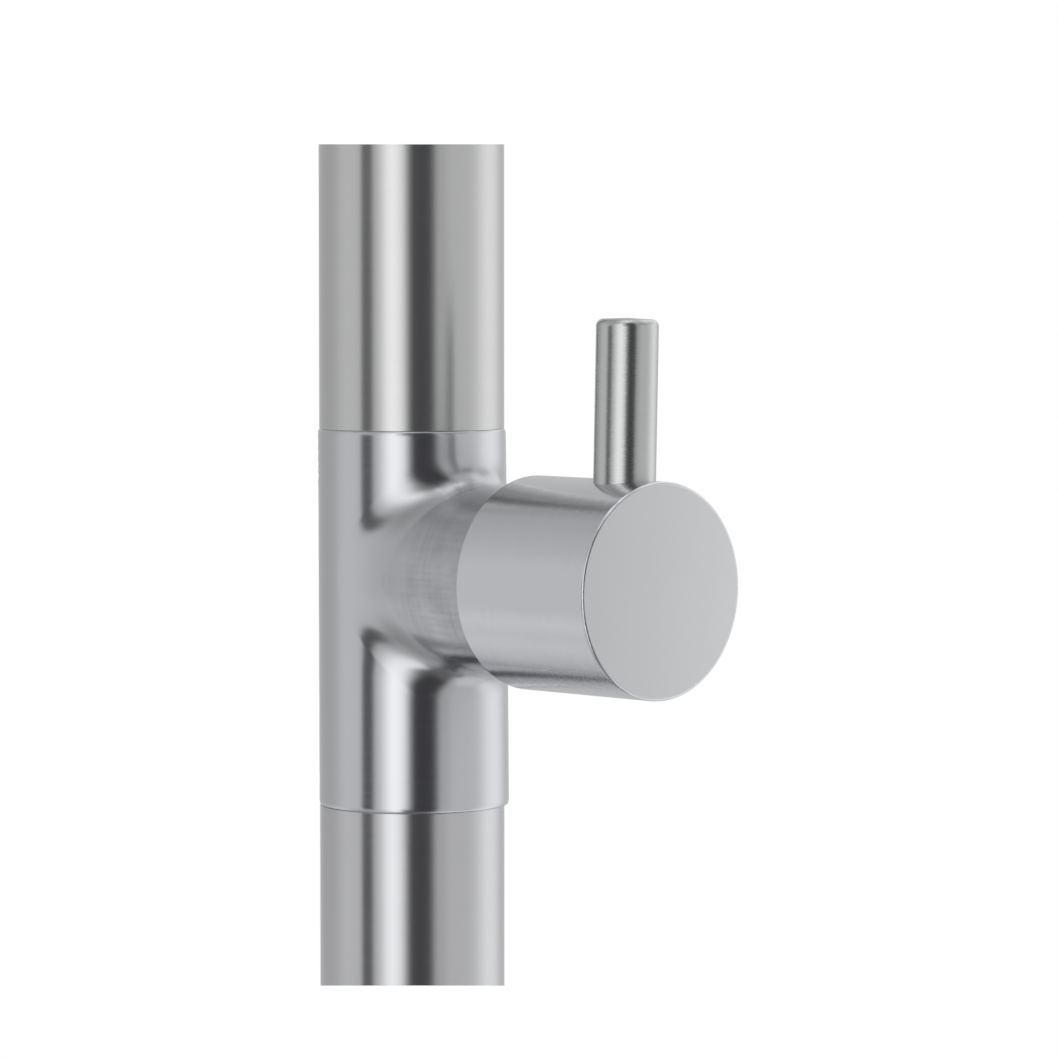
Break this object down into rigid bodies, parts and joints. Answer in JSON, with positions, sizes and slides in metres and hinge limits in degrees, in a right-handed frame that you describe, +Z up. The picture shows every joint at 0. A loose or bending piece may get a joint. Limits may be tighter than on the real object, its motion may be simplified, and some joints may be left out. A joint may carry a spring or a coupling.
{
  "type": "garden shower",
  "caption": "Free-standing garden shower column of brushed steel tube with a side knob valve, an arm and a round overhead spray head.",
  "frame": {"origin": "centre of the base plate's underside, on the ground, at the centre of its bolt circle", "axes": "+Z up the column; -Y to the front, where the valve branch, the arm and the head point; +Y to the hose inlet; +X to the right when looking along +Y at the front"},
  "size_m": [0.24, 0.6, 2.159],
  "materials": {
    "brushed_tube": "brushed round the tube",
    "satin_fittings": "satin brushed",
    "base_steel": "brushed sheet",
    "lever_steel": "brushed along the turning marks",
    "screw_steel": "bright",
    "head_steel": "brushed",
    "polished_fittings": "fine satin",
    "brass": "turned",
    "seal_rubber": "matt black",
    "ceramic": "lapped ceramic",
    "white_plastic": "moulded",
    "nozzle_silicone": "soft grey silicone"
  },
  "bodies": {
    "column": {"base_plate": "base_steel", "base_spigot": "satin_fittings", "base_collar": "satin_fittings", "base_spigot_seals": "seal_rubber", "base_grub_screws": "screw_steel", "lower_tube": "brushed_tube", "drain_washer": "seal_rubber", "drain_screw": "screw_steel", "inlet_boss": "satin_fittings", "inlet_washer": "seal_rubber", "inlet_nipple": "polished_fittings", "inlet_strainer": "white_plastic", "tee_body": "satin_fittings", "tee_spigot_seals": "seal_rubber", "tee_grub_screws": "screw_steel", "cartridge_body": "brass", "cartridge_seat_seal": "seal_rubber", "fixed_ceramic_disc": "ceramic", "upper_tube": "brushed_tube", "top_cap": "satin_fittings", "top_cap_seal": "seal_rubber", "top_cap_screw": "screw_steel", "arm_socket": "satin_fittings", "arm_tube": "brushed_tube", "arm_seal": "seal_rubber", "arm_grub_screw": "screw_steel", "ball_stud": "polished_fittings", "stud_washer": "seal_rubber"},
    "knob": {"turning_ceramic_disc": "ceramic", "spindle": "brass", "spindle_seals": "seal_rubber", "spindle_clip": "screw_steel", "knob_insert": "brass", "knob_body": "satin_fittings", "knob_grub_screw": "screw_steel", "lever_pin": "lever_steel"},
    "head": {"head_shell": "head_steel", "ball_socket": "white_plastic", "ball_seal": "seal_rubber", "collar_nut": "head_steel", "head_screen": "white_plastic", "spray_plate": "head_steel", "spray_nozzles": "nozzle_silicone", "plate_screws": "screw_steel"}
  },
  "joints": [
    {"name": "valve_turn", "type": "hinge", "parent": "column", "child": "knob", "pos_m": [0, -0.0412, 1.1], "axis": [0, -1, 0], "range_deg": [0, 90]},
    {"name": "head_tilt", "type": "hinge", "parent": "column", "child": "head", "pos_m": [0, -0.38, 2.022], "axis": [1, 0, 0], "range_deg": [-15, 15]}
  ]
}
